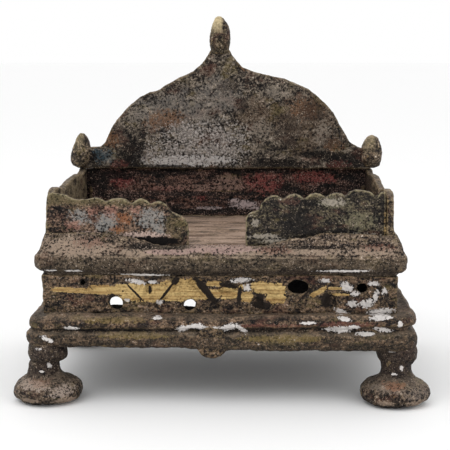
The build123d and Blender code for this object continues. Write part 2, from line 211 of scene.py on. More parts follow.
def daub(surface, spots, colour, amount=None, ragged=1.0, size=3.0, soft=0.5, power=2, **finish):
    """Covers the surface with this colour in ragged patches, as strongly as amount says."""
    mask = patches(surface, spots, ragged, size, soft, power)
    if amount is not None:
        mask = mask * amount
    cover(surface, mask, colour, **finish)


LIME = paint(214, 208, 204)
# Near-black of soot, also used for painted shade and shadow.
SOOT_AND_SHADE = paint(17, 13, 12)
# Colour of the painted shade on undersides.
UNDERSIDE_SHADE = (44, 36, 30)


def old_brass(
    name, tone=(78, 61, 47), paler=(108, 88, 70), darker=(42, 32, 27), streak=0.45, face=(-30, -34)
):
    """Brass under the brown patina of long use: cloudy, with olive and rust-brown in it. A streak under 1
    draws the clouds out sideways. Patches lie on the face, which begins at the first Y and is full at the
    second."""
    material = bpy.data.materials.new(name)
    material.use_nodes = True
    tree = material.node_tree
    tree.nodes.clear()
    place = Wire(tree).node("ShaderNodeTexCoord", {}, output=3)
    place = place.node("ShaderNodeMapping", {"Vector": place, "Scale": (1000, 1000, 1000)})
    surface = {"material": material, "place": place, "face": face}
    for axis, letter in enumerate("xyz"):
        surface[letter] = place.node("ShaderNodeSeparateXYZ", {0: place}, output=axis)
    sideways = (streak, streak, 1.0)
    mottle = place.grain(3.0, 4.0, 0.75, squash=sideways)
    fine = place.grain(0.8, 2.0, 0.8)
    speck = place.grain(0.5, 2.0, 0.8)
    clouds = mottle * 1.1 + place.grain(1.3, 3.0, 0.8, squash=sideways) * 1.1 + fine * 1.1 - 1.21
    light = tuple(min(255, 1.4 * each) for each in paler)
    stops = [
        (0.26, SOOT_AND_SHADE),
        (0.38, paint(*darker)),
        (0.5, paint(*tone)),
        (0.62, paint(*paler)),
        (0.8, paint(*light)),
    ]
    surface.update(
        colour=place.node("ShaderNodeValToRGB", {"Fac": clouds}, stops=stops),
        fine=fine,
        mottle=mottle,
        speck=speck,
        ridge=place.node("ShaderNodeNewGeometry", {}, output=7),
        rough=0.62 + (mottle - 0.5) * 0.3,
        metal=mottle * 0.25,
        lift=fine * 0.6 + mottle * 0.6,
    )
    broad = place.grain(6.5, 3.0, 0.7, squash=sideways)
    cover(surface, broad.rising(0.55, 0.68) * 0.5, paint(112, 98, 60))
    cover(surface, broad.rising(0.45, 0.34) * 0.45, paint(92, 58, 46))
    return surface


def weather(surface, edge_wear_and_highlight=0.4, grit=0.65, pits=0.85, rub_and_highlight=paint(150, 128, 92)):
    """Lays the marks of age over a finish: dust on top, painted shade underneath, soot, dirt and painted
    shade in the corners, rubbed edges that are also a painted highlight, black pits and pale grit."""
    place, ridge = surface["place"], surface["ridge"]
    facing = place.node("ShaderNodeNewGeometry", {}, output=1)
    upward = place.node("ShaderNodeSeparateXYZ", {0: facing}, output=2)
    corner = place.node("ShaderNodeAmbientOcclusion", {"Distance": 5 * MM}, output=1, samples=6)
    torn = surface["mottle"] * 0.5 - 0.25
    cover(surface, (upward + torn).rising(0.35, 1.0) * 0.3, paint(150, 134, 116), rough=0.8)
    # Painted shade: faces turned downwards are darkened.
    cover(surface, (upward + torn).rising(-0.05, -0.8) * 0.75, paint(*UNDERSIDE_SHADE), rough=0.85)
    # Soot in the corners, with painted shade there: ambient occlusion darkens them.
    cover(surface, (corner + torn).rising(0.62, 0.2) * 0.85, SOOT_AND_SHADE, rough=0.9, metal=0.0)
    # Rubbed edges, lightened also as a painted highlight.
    cover(surface, ridge.rising(0.515, 0.56) * edge_wear_and_highlight, rub_and_highlight, rough=0.5, metal=0.5)
    cover(surface, ridge.rising(0.49, 0.44) * 0.85, SOOT_AND_SHADE, rough=0.9, metal=0.0)
    pit = (surface["fine"] + surface["mottle"] * 0.4).rising(0.645, 0.55)
    cover(surface, pit * pits, SOOT_AND_SHADE, rough=0.9, lift=-0.35)
    grain = (surface["speck"] + surface["mottle"] * 0.3).rising(0.76, 0.84)
    cover(surface, grain * grit, paint(188, 170, 152), rough=0.85, lift=0.2)


def dress(piece, surface, bump=0.8):
    """Finishes the surface's shader, puts it on the piece, and fixes the piece to the root body."""
    place = surface["place"]
    height = place.node("ShaderNodeBump", {"Height": surface["lift"], "Distance": MM, "Strength": bump})
    sockets = {
        "Base Color": surface["colour"],
        "Roughness": surface["rough"],
        "Metallic": surface["metal"],
        "Normal": height,
        "Specular IOR Level": 0.25,
    }
    shader = place.node("ShaderNodeBsdfPrincipled", sockets)
    place.node("ShaderNodeOutputMaterial", {"Surface": shader})
    piece.data.materials.clear()
    piece.data.materials.append(surface["material"])
    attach(piece, "root")


def shade_hollow(surface, reach=0.0, top=49.6):
    """Paints near-black shade over everything that faces the hollow inside of the plinth, which below this
    top reaches this far beyond the walls' outer faces."""
    across, out = HALF_WIDTH + reach, HALF_DEPTH + reach
    within = surface["x"].maths("ABSOLUTE").rising(across - 0.1, across - 0.4)
    within = within * surface["y"].maths("ABSOLUTE").rising(out - 0.1, out - 0.4)
    cover(surface, within * surface["z"].rising(top, top - 0.4), paint(10, 8, 7), rough=0.95, metal=0.0)


base = draw_ring(
    "base_skin",
    [
        (5.6, 17.6), (6.6, 18.3), (6.9, 19.6), (7.0, 21.2), (6.6, 22.7), (5.4, 23.5), (4.6, 23.8),
        (4.7, 24.2), (6.1, 24.5), (6.2, 25.9), (5.7, 27.2), (4.5, 28.3), (2.6, 28.9), (0.5, 29.0),
        (-1.1, 29.0), (-1.1, 30.9), (-2.1, 30.9), (-2.1, 27.4), (0.8, 26.6), (2.2, 24.4), (2.4, 21.0),
        (2.6, 17.6),
    ],
    6.0,
)
bpy.ops.object.mode_set(mode="EDIT")
dents = [  # what lies between two corners, each across and up, is pushed by a step
    ((50, 17), (70, 29), (1.2, 0, 0)),
    ((50, 24.1), (70, 28.4), (0.3, 0, 1.2)),
    ((-70, 17), (-50, 20), (0, 0, 0.9)),
    ((-70, 17), (-40, 29), (-0.9, 0, 0)),
]
for low, high, step in dents:
    bm = bmesh.from_edit_mesh(base.data)
    for vert in bm.verts:
        vert.select_set(low[0] < vert.co.x / MM < high[0] and low[1] < vert.co.z / MM < high[1])
    bm.select_flush_mode()
    bpy.ops.transform.translate(value=[each * MM for each in step])
bpy.ops.object.mode_set(mode="OBJECT")
PAD_ACROSS, PAD_OUT, PAD_LEVEL = 55.0, 37.4, 19.6
PAD_WIDTH, PAD_DEEP = 9.4, 3.8
for side in (-1, 1):
    for end in (-1, 1):
        middle = (side * PAD_ACROSS * MM, end * PAD_OUT * MM, PAD_LEVEL * MM)
        bpy.ops.mesh.primitive_cube_add(size=1, location=middle)
        bpy.context.object.scale = (PAD_WIDTH * MM, PAD_WIDTH * MM, PAD_DEEP * MM)
        edit_new("foot_pad")
        bpy.ops.mesh.bevel(offset=1.2 * MM, segments=2)
        bpy.ops.object.mode_set(mode="OBJECT")
        base.select_set(True)
        bpy.context.view_layer.objects.active = base
        bpy.ops.object.join()
        bpy.ops.object.select_all(action="DESELECT")
cast_skin(base, 0.5, [(7, 0.9), (2.2, 0.45), (0.9, 0.22)])
surface = old_brass("base_brass")
lime_streak = [
    (-12, 24.9, 2.0, 1.1), (-8.6, 25.8, 3.2, 0.8, 10), (-5, 25.0, 3.4, 1.0, -20), (-1.6, 24.4, 2.8, 1.3),
    (2.6, 25.4, 3.8, 1.2, 12), (6.8, 24.8, 2.4, 0.8, -30), (38.0, 24.9, 4.8, 1.1), (42.4, 25.6, 2.0, 0.8),
    (51.6, 24.8, 3.0, 0.8, -8), (-47.4, 24.8, 2.6, 0.7), (-55.2, 21.4, 2.2, 0.8, -25),
    (39.5, 28.2, 2.4, 0.7, -12), (50.5, 28.6, 3.6, 0.8, 4), (57, 26.6, 0.8, 1.3), (-20, 28, 1.6, 0.5),
    (28, 27, 2.6, 0.5), (46, 23.4, 3, 0.6),
]
cover(surface, surface["z"].rising(24.3, 24.0) * 0.35, paint(64, 56, 42))
# Painted shadow in the sunk quirk, under the ovolo.
quirk_shadow = [(-38, 24.0, 9, 0.5), (-28, 24.3, 6, 0.8)]
daub(surface, quirk_shadow, SOOT_AND_SHADE, ragged=0.6, size=1.6, soft=0.3)
olive_bloom = [(-34, 27.4, 12, 1.2), (-28, 22.6, 12, 1.3), (20, 22, 16, 1.4)]
daub(surface, olive_bloom, paint(124, 106, 60), amount=0.5, ragged=0.8, size=2.4, soft=0.6)
rust_bloom = [(16, 25.8, 12, 1.0), (40, 26.4, 10, 1.2)]
daub(surface, rust_bloom, paint(112, 66, 56), amount=0.5, ragged=0.8, size=1.6, soft=0.6)
weather(surface, pits=0.6, grit=0.5)
daub(surface, lime_streak, LIME, ragged=0.85, size=0.9, soft=0.2, rough=0.85, metal=0.0, lift=0.6)
# Painted shade inside the hollow plinth, deep enough to show black through the drilled holes.
shade_hollow(surface)
shade_hollow(surface, 3.2, 27.8)
dress(base, surface)
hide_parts("base_moulding")

# ---- Frieze band ------------------------------------------------------------------------------------
# A plain cast strip round the plinth, chased with a zigzag and drilled with dots, some right through. Its
# front has been scraped back to bare yellow brass in places, and lime has dried on the right of it.
frieze = draw_ring("frieze_skin", [(1.4, 28.6), (1.5, 41.3), (-1.0, 41.3), (-1.0, 28.6)], 0.6)
bpy.ops.object.mode_set(mode="EDIT")
bm = bmesh.from_edit_mesh(frieze.data)
for vert in bm.verts:
    vert.select_set(vert.co.x < 0)
bm.select_flush_mode()
bpy.ops.transform.translate(value=(-0.9 * MM, 0, 0))
bpy.ops.object.mode_set(mode="OBJECT")


def cut(piece, turn, places):
    """Cuts round holes into one face of the band: across, up, half width, half height, depth, tilt."""
    for across, up, half_width, half_height, depth, tilt in places:
        reach = (HALF_DEPTH if turn == 0 else HALF_WIDTH) + 1.5
        middle = (across * MM, -reach * MM, up * MM)
        bpy.ops.mesh.primitive_cylinder_add(
            vertices=14, radius=1, depth=2, location=middle, rotation=(math.pi / 2, 0, 0)
        )
        tool = bpy.context.object
        tool.scale = (half_width * MM, half_height * MM, depth * MM)
        edit_new("drill")
        bpy.ops.transform.rotate(value=-math.radians(tilt), orient_axis="Y", center_override=middle)
        bpy.ops.transform.rotate(value=-turn, orient_axis="Z", center_override=(0, 0, 0))
        bpy.ops.mesh.normals_make_consistent(inside=False)
        bpy.ops.object.mode_set(mode="OBJECT")
        apply_modifier(piece, "BOOLEAN", operation="DIFFERENCE", object=tool, solver="EXACT")
        bpy.data.objects.remove(tool)


def chase(piece, turn, lines):
    """Cuts straight chisel lines into one face: from and to, across and up, then width and depth."""
    for ax, az, bx, bz, width, depth in lines:
        reach = (HALF_DEPTH if turn == 0 else HALF_WIDTH) + 1.5
        middle = ((ax + bx) / 2 * MM, -reach * MM, (az + bz) / 2 * MM)
        bpy.ops.mesh.primitive_cube_add(size=1, location=middle)
        tool = bpy.context.object
        tool.scale = (math.hypot(bx - ax, bz - az) * MM, 2 * depth * MM, width * MM)
        edit_new("chisel")
        slant = math.atan2(bz - az, bx - ax)
        bpy.ops.transform.rotate(value=slant, orient_axis="Y", center_override=middle)
        bpy.ops.transform.rotate(value=-turn, orient_axis="Z", center_override=(0, 0, 0))
        bpy.ops.object.mode_set(mode="OBJECT")
        apply_modifier(piece, "BOOLEAN", operation="DIFFERENCE", object=tool, solver="EXACT")
        bpy.data.objects.remove(tool)


cut(frieze, 0, [
    (-44.0, 38.9, 0.9, 1.0, 3, 0), (-33.4, 32.0, 2.1, 2.2, 3, 20), (-22.9, 36.8, 0.9, 1.9, 1.1, 0),
    (-9.9, 31.7, 2.1, 1.9, 3, -30), (2.4, 37.2, 3.4, 1.3, 1.3, -12), (11.6, 31.6, 2.2, 2.6, 1.5, 10),
    (24.8, 37.4, 3.4, 2.3, 3, 4), (35.1, 31.6, 1.9, 3.4, 1.2, 6), (45.0, 37.4, 1.7, 1.5, 3, 0),
])
chase(frieze, 0, [
    (-44.4, 30.4, -34.2, 39.6, 0.8, 0.5), (-33.2, 39.2, -24.2, 30.6, 0.9, 0.7),
    (-21.2, 30.6, -13.2, 39.6, 1.2, 0.8), (-9.6, 39.8, -0.6, 30.4, 1.9, 1.0),
    (0.4, 30.6, 8.6, 38.6, 1.0, 0.6), (11.6, 39.0, 20.8, 31.0, 1.0, 0.6),
    (22.6, 30.8, 31.2, 39.4, 1.0, 0.6), (33.6, 39.4, 42.8, 30.8, 0.9, 0.6),
])
PITCH = 11.1  # of the sides' zigzag and of the dots between its lines
for turn in (-math.pi / 2, math.pi / 2):
    corners = [(step * PITCH, 39.6 if step % 2 == 0 else 30.6) for step in range(-4, 5)]
    corners = [(max(-HALF_DEPTH, min(HALF_DEPTH, across)), up) for across, up in corners]
    chase(frieze, turn, [(*before, *after, 1.0, 0.9) for before, after in zip(corners, corners[1:])])
    dots = ((1.0, 1.1), (1.5, 3.4), (1.2, 1.1), (1.7, 3.4), (1.2, 1.1), (1.5, 3.4), (1.0, 1.1))
    places = []
    for step, (radius, depth) in enumerate(dots):
        across = (step - 3) * PITCH + 0.4 * math.sin(step * 5 + turn)
        places.append((across, 37.8 if step % 2 == 0 else 32.2, radius, radius * 1.1, depth, 0))
    cut(frieze, turn, places)
cast_skin(frieze, 0.42, [(6, 0.5), (1.8, 0.32), (0.8, 0.16)])
surface = old_brass("frieze_brass", tone=(84, 68, 50))
scratches = surface["place"].grain(2.6, 5.0, 0.75, squash=(0.12, 0.5, 3.0))
bare_spots = [
    (-46, 36.2, 8, 0.9, -3), (-36, 36.4, 6, 1.5, -2), (-31, 37.2, 3, 1.2), (-25, 35.5, 8, 3.0),
    (-13, 36.2, 7, 3.4), (-10, 37.8, 4, 2.4), (-5, 34.8, 2, 1.6), (-2, 38.6, 2.6, 0.9),
    (-1.4, 35.4, 2.2, 1.4), (2.5, 35.4, 3, 1.8), (8.4, 34.4, 1.9, 1.7), (7, 37.6, 1.2, 0.8),
    (13.4, 37.4, 3.6, 2.0), (17.6, 35.6, 3.2, 3.4), (31.2, 36, 3, 0.8, 30), (37, 37.2, 3, 0.5),
    (38.4, 35.2, 2.8, 0.4),
]
weather(surface)
bare = patches(surface, bare_spots, 0.85, 1.1, 0.14, power=4)
shades = {0: scratches.rising(0.36, 0.64), 6: paint(152, 120, 74), 7: paint(206, 178, 122)}
yellow = surface["place"].node("ShaderNodeMix", shades, output=2, data_type="RGBA")
cover(surface, bare, yellow, rough=0.42, metal=0.6, lift=-0.15)
dark_cuts = [
    (-27.2, 35.4, 4.6, 0.4, -47), (-14.4, 39.3, 1.7, 1.2, 60), (-17.2, 35.9, 4.8, 0.5, 53),
    (-5.0, 36.5, 6.6, 1.3, -50), (-22.6, 36.4, 0.7, 1.4), (2.2, 38.0, 2.9, 1.0, -14),
    (12.6, 33.4, 1.3, 2.6), (13.0, 31.6, 3.0, 1.4), (6.0, 34.6, 0.7, 3.6, -8), (27.4, 35.4, 4.4, 0.3, 46),
    (33.8, 33.4, 1.6, 2.6), (-34.8, 34.4, 1.2, 0.8, 30), (-44.0, 39.2, 1.3, 0.9),
]
daub(surface, dark_cuts, paint(34, 27, 22), ragged=0.35, size=0.9, soft=0.3, rough=0.9, metal=0.0)
limed = [
    (-27, 39.2, 3.2, 0.8, -10), (-21.6, 39.0, 1.8, 0.6), (-19.6, 32.3, 1.0, 0.8),
    (6.6, 39.8, 3.8, 0.8, 5), (8.4, 37.4, 1.2, 1.3), (40.2, 37.8, 2.2, 1.6, -30), (43.0, 35.6, 1.6, 0.9),
    (42.2, 32.2, 1.9, 1.1), (46.8, 32.4, 2.5, 1.4, 15), (49.6, 34.8, 0.9, 2.1, -20),
    (38.8, 29.6, 2.4, 0.8, -18), (51.4, 29.8, 4.6, 1.0, 5), (49, 38.8, 2.2, 0.8), (33.4, 39.8, 1.8, 0.7),
    (-30, 33, 1.0, 0.6), (52.4, 36.4, 1.0, 1.2),
]
daub(surface, limed, LIME, amount=0.85, ragged=1.15, size=0.7, soft=0.3, rough=0.85, metal=0.0, lift=0.6)
# Painted shade on the faces inside the hollow plinth.
shade_hollow(surface)
dress(frieze, surface)
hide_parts("frieze_band")

# ---- Cornice moulding -------------------------------------------------------------------------------
# The bold moulding that carries the seat: a small bead, a full ovolo and a cove that dies into the walls.
# Cast in one piece with an inner ledge, and crusted with old ritual powders towards the left.
cornice = draw_ring(
    "cornice_skin",
    [
        (1.6, 41.2), (1.9, 41.8), (2.0, 42.2), (3.2, 42.7), (4.1, 43.8), (4.3, 45.8), (4.2, 47.4),
        (3.5, 48.1), (2.9, 49.3), (1.9, 50.8), (0.8, 51.0), (0.1, 50.6), (-2.7, 50.6), (-2.7, 48.2),
        (-6.6, 48.2), (-6.6, 46.2), (-1.1, 46.0), (-1.1, 43.0), (-2.1, 42.9), (-2.1, 39.6), (-1.1, 39.5),
        (-1.1, 41.2),
    ],
    3.4,
)
cove = draw_ring("cove", [(2.6, 49.8), (2.1, 51.4), (1.4, 53.4), (0.7, 54.8), (0.1, 54.8), (0.1, 50.0)], 2.4)
bpy.ops.object.mode_set(mode="EDIT")
bpy.ops.mesh.select_all(action="SELECT")
bpy.ops.mesh.subdivide(number_cuts=24)
bm = bmesh.from_edit_mesh(cove.data)
for vert in bm.verts:
    vert.select_set(vert.co.y < -37 * MM and abs(vert.co.x - 1.5 * MM) < 34 * MM)
    if vert.select:
        away = min(1.0, max(0.0, (abs(vert.co.x / MM + 1.5) - 12) / 22))
        vert.co.z = 49.6 * MM + (vert.co.z - 49.6 * MM) * (0.12 + 0.88 * away)
bmesh.update_edit_mesh(cove.data)
bpy.ops.object.mode_set(mode="OBJECT")
cornice.select_set(True)
cove.select_set(True)
bpy.context.view_layer.objects.active = cornice
bpy.ops.object.join()
bpy.ops.object.select_all(action="DESELECT")
cast_skin(cornice, 0.5, [(8, 1.0), (2.4, 0.55), (0.9, 0.25)])
surface = old_brass("cornice_brass", tone=(92, 76, 62), paler=(122, 106, 90))
cover(surface, (surface["z"] + surface["mottle"] * 3).rising(49.2, 48.4) * 0.6, paint(70, 60, 46))
# Painted highlight: a pale line along the arris.
arris_highlight = [(-30, 47.6, 26, 0.35), (20, 47.6, 32, 0.35)]
daub(surface, arris_highlight, paint(150, 132, 112), amount=0.5, ragged=0.5, size=2.0, soft=0.5)
crust = [
    (-45, 50.5, 13, 3.4), (-25, 48.9, 9, 1.3), (48, 49.6, 9, 1.4), (10, 49.0, 12, 1.0), (30, 49.2, 12, 1.0),
]
daub(
    surface, crust, paint(160, 140, 122), amount=0.8, ragged=0.75, size=1.0, soft=0.4,
    rough=0.9, metal=0.0, lift=0.5,
)
rose_bloom = [(0, 50.2, 13, 1.9), (-16, 49.0, 8, 0.9)]
daub(
    surface, rose_bloom, paint(170, 142, 134), amount=0.85, ragged=0.5, size=1.4, soft=0.5, rough=0.8,
    metal=0.0,
)
powder_stain = [(-41, 52, 6, 2), (17, 49.6, 6, 1.2), (50, 50.6, 6, 1.2)]
daub(surface, powder_stain, paint(112, 70, 58), amount=0.5, ragged=1.1, size=1.0, soft=0.8, rough=0.8)
# Painted shadow on the cornice's top along the feet of the two parapets.
parapet_foot_shadows = [(-20, 50.7, 12, 1.2), (30, 50.6, 10, 0.6)]
daub(surface, parapet_foot_shadows, SOOT_AND_SHADE, amount=0.9, ragged=0.5, size=1.2, soft=0.4, rough=0.95)
weather(surface, grit=0.9, pits=0.95)
slope = surface["z"].rising(48.4, 49.4) * surface["y"].rising(-30, -34)
cover(surface, slope * surface["fine"].rising(0.45, 0.39) * 0.7, SOOT_AND_SHADE, rough=0.95)
cover(surface, slope * surface["speck"].rising(0.57, 0.64) * 0.7, paint(186, 166, 150), rough=0.9, lift=0.3)
thin_lime = [(-46.6, 42.9, 3.0, 0.4), (-54, 43, 2, 0.3), (39, 43.2, 9, 0.5, 1), (-25, 41.4, 8, 0.5)]
daub(surface, thin_lime, LIME, ragged=0.7, size=0.9, soft=0.3, rough=0.85, metal=0.0, lift=0.5)
# Painted shade on the faces inside the hollow plinth.
shade_hollow(surface)
dress(cornice, surface)
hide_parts("cornice_moulding")

# ---- Seat plate -------------------------------------------------------------------------------------
# A plain brass sheet let in between the walls, resting on the cornice's inner ledge. The figure that stood
# on it has polished it to a pinkish tan, streaked from side to side.
SEAT_WIDTH, SEAT_DEPTH, SEAT_TOP, SEAT_THICKNESS = 104.2, 70.2, 50.55, 2.4
bpy.ops.mesh.primitive_plane_add(size=1, location=(0, 0, SEAT_TOP * MM))
bpy.context.object.scale = (SEAT_WIDTH * MM, SEAT_DEPTH * MM, 1)
seat = edit_new("seat_skin")
bpy.ops.mesh.bevel(affect="VERTICES", offset=1.6 * MM, segments=1)
bpy.ops.mesh.extrude_region_move(TRANSFORM_OT_translate={"value": (0, 0, -SEAT_THICKNESS * MM)})
bpy.ops.mesh.select_all(action="SELECT")
bpy.ops.mesh.normals_make_consistent(inside=False)
bpy.ops.object.mode_set(mode="OBJECT")
cast_skin(seat, 0.6, [(9, 0.5), (2.2, 0.2)])
surface = old_brass(
    "seat_brass", tone=(138, 112, 92), paler=(160, 134, 116), darker=(104, 80, 62), streak=0.15
)
streaks = surface["place"].grain(3.5, 5.0, 0.7, squash=(0.12, 1.2, 1.0))
cover(surface, streaks.rising(0.48, 0.6) * 0.9, paint(190, 162, 146), rough=0.6)
cover(surface, streaks.rising(0.46, 0.38) * 0.9, paint(82, 54, 44))
# Painted shade on the seat's underside, inside the hollow plinth.
shade_hollow(surface)
weather(surface, edge_wear_and_highlight=0.0, grit=0.3, pits=0.3)
dress(seat, surface, bump=0.4)
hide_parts("seat_plate")

# ---- Side walls -------------------------------------------------------------------------------------
# Hand-hammered brass sheets brazed on end over the cornice, their top edges filed into two lobes. The left
# one stops behind the front sheet; the right one runs past its sheet to the front.


def draw_sheet(name, along, stations, foot, across, thickness):
    """Walks out a standing sheet along X or Y, from station to station (distance, top), and thickens it."""
    unit = (1, 0) if along == "x" else (0, 1)
    middle, top = (stations[0][0] + stations[1][0]) / 2, stations[0][1]
    centre = (middle, across) if along == "x" else (across, middle)
    location = (centre[0] * MM, centre[1] * MM, (foot + top) / 2 * MM)
    rotation = (math.pi / 2, 0, 0 if along == "x" else math.pi / 2)
    bpy.ops.mesh.primitive_plane_add(size=1, location=location, rotation=rotation)
    bpy.context.object.scale = ((stations[1][0] - stations[0][0]) * MM, (top - foot) * MM, 1)
    sheet = edit_new(name)
    bm = bmesh.from_edit_mesh(sheet.data)
    for number, ((before, top_before), (here, top)) in enumerate(zip(stations, stations[1:])):
        run = [vert.co.x * unit[0] + vert.co.y * unit[1] for vert in bm.verts]
        for vert, distance in zip(bm.verts, run):
            vert.select_set(distance > max(run) - 0.001 * MM)
        bm.select_flush_mode()
        if number:
            step = (here - before) * MM
            move = {"value": (step * unit[0], step * unit[1], 0)}
            bpy.ops.mesh.extrude_region_move(TRANSFORM_OT_translate=move)
            bm = bmesh.from_edit_mesh(sheet.data)
        for vert in bm.verts:
            if vert.select and vert.co.z < (foot + 0.5) * MM:
                vert.select_set(False)
        bm.select_flush_mode()
        bpy.ops.transform.translate(value=(0, 0, (top - top_before) * MM))
        bm = bmesh.from_edit_mesh(sheet.data)
    bpy.ops.object.mode_set(mode="OBJECT")
    apply_modifier(sheet, "SOLIDIFY", thickness=thickness * MM, offset=0)
    return sheet


lobes = [
    (-37.9, 65.6), (-36, 67.2), (-32, 68.0), (-26, 68.1), (-20, 67.4), (-16.5, 66.2), (-15, 65.8),
    (-13.5, 66.3), (-8, 67.3), (0, 67.9), (10, 68.2), (20, 68.0), (27, 67.3), (31, 67.9), (34, 68.6),
    (37.9, 68.6),
]
SHEET_FOOT = 50.4  # level of the sheets' lower edges, just below the seat's top
SIDE_THICKNESS = 2.5
left_lobes = [(-35.1, 67.3)] + lobes[2:]
for name, side, across, stations in (("left_side", -1, -54.4, left_lobes), ("right_side", 1, 53.6, lobes)):
    wall = draw_sheet(f"{name}_skin", "y", stations, SHEET_FOOT, across, SIDE_THICKNESS)
    cast_skin(wall, 0.45, [(7, 0.5), (2.0, 0.25), (0.9, 0.12)])
    surface = old_brass(f"{name}_brass", tone=(88, 74, 56), paler=(120, 106, 84))
    inner = (surface["x"] * side).rising(abs(across) - 0.2, abs(across) - 0.8)
    if side > 0:
        # Painted shade: the right wall's inner face darkens towards the rear corner.
        cover(surface, inner * surface["y"].rising(0, 24) * 0.85, paint(44, 31, 27))
    else:
        cover(surface, inner * surface["mottle"].rising(0.4, 0.55) * 0.6, paint(140, 128, 104))
    weather(surface, edge_wear_and_highlight=0.6)
    dress(wall, surface)
    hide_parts(f"{name}_wall")

# ---- Rear wall --------------------------------------------------------------------------------------
# A plain sheet behind the seat that laps up behind the crest plate. Its face is stained with red powder
# and darkened towards its ends by lamp smoke and painted corner shade, with a painted shadow under the
# crest's lower edge.
REAR_ACROSS, REAR_THICKNESS = 36.6, 2.6
rear_top = [(-54.0, 68.4), (-50.1, 68.5), (-50.0, 74.6), (50.0, 74.6), (50.1, 68.5), (53.2, 68.4)]
rear = draw_sheet("rear_skin", "x", rear_top, SHEET_FOOT, REAR_ACROSS, REAR_THICKNESS)
cast_skin(rear, 0.5, [(7, 0.5), (2.0, 0.3), (0.9, 0.16)])
surface = old_brass(
    "rear_brass", tone=(64, 44, 36), paler=(94, 70, 60), darker=(16, 11, 10), streak=0.4, face=(37.2, 36.2)
)
stain = [
    (-40.5, 64.4, 6, 3.4, -15), (14, 63.4, 8, 4.6), (33, 65.2, 9, 2.8), (-9.6, 57.6, 3, 1.4),
    (-22, 61, 10, 1.0),
]
daub(surface, stain, paint(128, 64, 60), amount=0.7, ragged=1.0, size=1.6, soft=0.9)
dusty_band = [(-12, 61.2, 22, 1.2), (0, 64, 6, 3)]
daub(surface, dusty_band, paint(142, 116, 104), amount=0.6, ragged=0.8, size=1.6, soft=0.8, rough=0.8)
# Lamp smoke with painted shadow: the band just under the crest's lower edge and, partly, the patches at the
# ends, in the rear corners.
smoke_and_shadow = [
    (-49.5, 62, 4.4, 9), (-40, 58, 9, 2.0), (-24, 67, 16, 1.3), (10, 67.6, 14, 0.9), (50, 64, 7, 8),
    (39, 60.4, 8, 2.6), (0, 52.2, 56, 1.1), (24, 60, 5, 3), (-12, 58.8, 26, 0.9), (-44, 66, 12, 2),
]
daub(surface, smoke_and_shadow, SOOT_AND_SHADE, amount=0.9, ragged=0.7, size=1.8, soft=0.5)
weather(surface, edge_wear_and_highlight=0.1, grit=0.9, pits=1.0)
cover(surface, surface["fine"].rising(0.49, 0.43) * 0.92, paint(3, 2, 2), rough=1.0, metal=0.0)
dust = surface["speck"].rising(0.54, 0.62) * surface["mottle"].rising(0.42, 0.58)
cover(surface, dust * 0.65, paint(164, 130, 120))
ash_dribbles = [(6.5, 54.8, 5.5, 1.6), (3, 56, 2, 1.2), (10, 53.6, 3, 0.8), (-7, 53.4, 5, 0.6)]
daub(
    surface, ash_dribbles, paint(184, 168, 166), amount=0.7, ragged=1.3, size=0.7, soft=0.5, rough=0.9,
    metal=0.0, lift=0.5,
)
dress(rear, surface)
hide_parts("rear_wall")

# ---- Front parapets ---------------------------------------------------------------------------------
# Two thin sheets with scalloped, rubbed rims and rounded shoulders beside the open front; the pale rims are
# also a painted highlight. Water, ash and powder have left blue-grey, salmon and rust blotches over the left
# one; the right one is darker.
left_rim = [
    (-55.9, 65.0), (-55.4, 66.9), (-53.6, 67.6), (-51.4, 67.1), (-49.3, 66.6), (-47.7, 65.7),
    (-45.5, 65.2), (-43, 65.3), (-41, 65.7), (-39.6, 65.9), (-38, 65.5), (-36.6, 64.3), (-34.8, 65.3),
    (-32, 65.9), (-30.2, 65.3), (-28.6, 63.9), (-27.4, 65.1), (-25.7, 66.0), (-24, 65.3), (-22.7, 64.0),
    (-21.6, 64.8), (-20.2, 65.2), (-18.6, 64.7), (-17.6, 64.1), (-16.9, 63.0), (-16.2, 61.9),
    (-14.5, 61.0), (-12.6, 60.2), (-11.4, 58.9), (-10.7, 57.2), (-10.4, 55.0),
]
right_rim = [
    (8.1, 58.4), (8.4, 59.8), (9.2, 60.9), (10.5, 61.4), (12.6, 62.0), (13.2, 63.6), (14.4, 65.4),
    (16.3, 66.6), (18.2, 66.6), (20.0, 65.2), (21.8, 66.4), (23.7, 66.9), (25.3, 66.4), (26.7, 65.2),
    (28.5, 66.8), (30.3, 67.3), (31.9, 66.9), (33.4, 65.8), (35, 67.1), (36.8, 67.6), (38.3, 67.3),
    (39.6, 66.4), (41, 68.0), (42.7, 68.6), (45.1, 68.7), (47.3, 68.0), (49.2, 66.6), (50.6, 68.0),
    (52.1, 68.5),
]
PARAPET_FOOT, PARAPET_ACROSS, PARAPET_THICKNESS = 50.3, -36.4, 2.0
left = draw_sheet("left_parapet_skin", "x", left_rim, PARAPET_FOOT, PARAPET_ACROSS, PARAPET_THICKNESS)
cast_skin(left, 0.4, [(7, 0.6), (2.0, 0.3), (0.8, 0.16)])
surface = old_brass("left_parapet_brass", tone=(90, 70, 56), paler=(120, 98, 82), face=(-35.8, -36.8))
water_stains = [(-45, 59.4, 4, 3), (-36.4, 57.6, 4.4, 4.2), (-22.6, 59.6, 5, 3.6), (-20, 56, 3, 3)]
daub(surface, water_stains, paint(142, 140, 136), amount=0.75, ragged=1.0, size=1.2, soft=1.0, rough=0.75)
salmon = [(-35.2, 61.6, 2.2, 2.6), (-47, 57, 3, 2), (-41, 61.4, 2, 1.4), (-27, 62, 2.4, 1.4)]
daub(surface, salmon, paint(154, 112, 98), amount=0.6, ragged=1.0, size=1.1, soft=1.0)
rust = [(-30.8, 59.2, 3.4, 2.2), (-33, 55.6, 3, 1.6), (-46, 53, 5, 1.4)]
daub(surface, rust, paint(136, 84, 50), amount=0.7, ragged=1.0, size=1.0, soft=1.0)
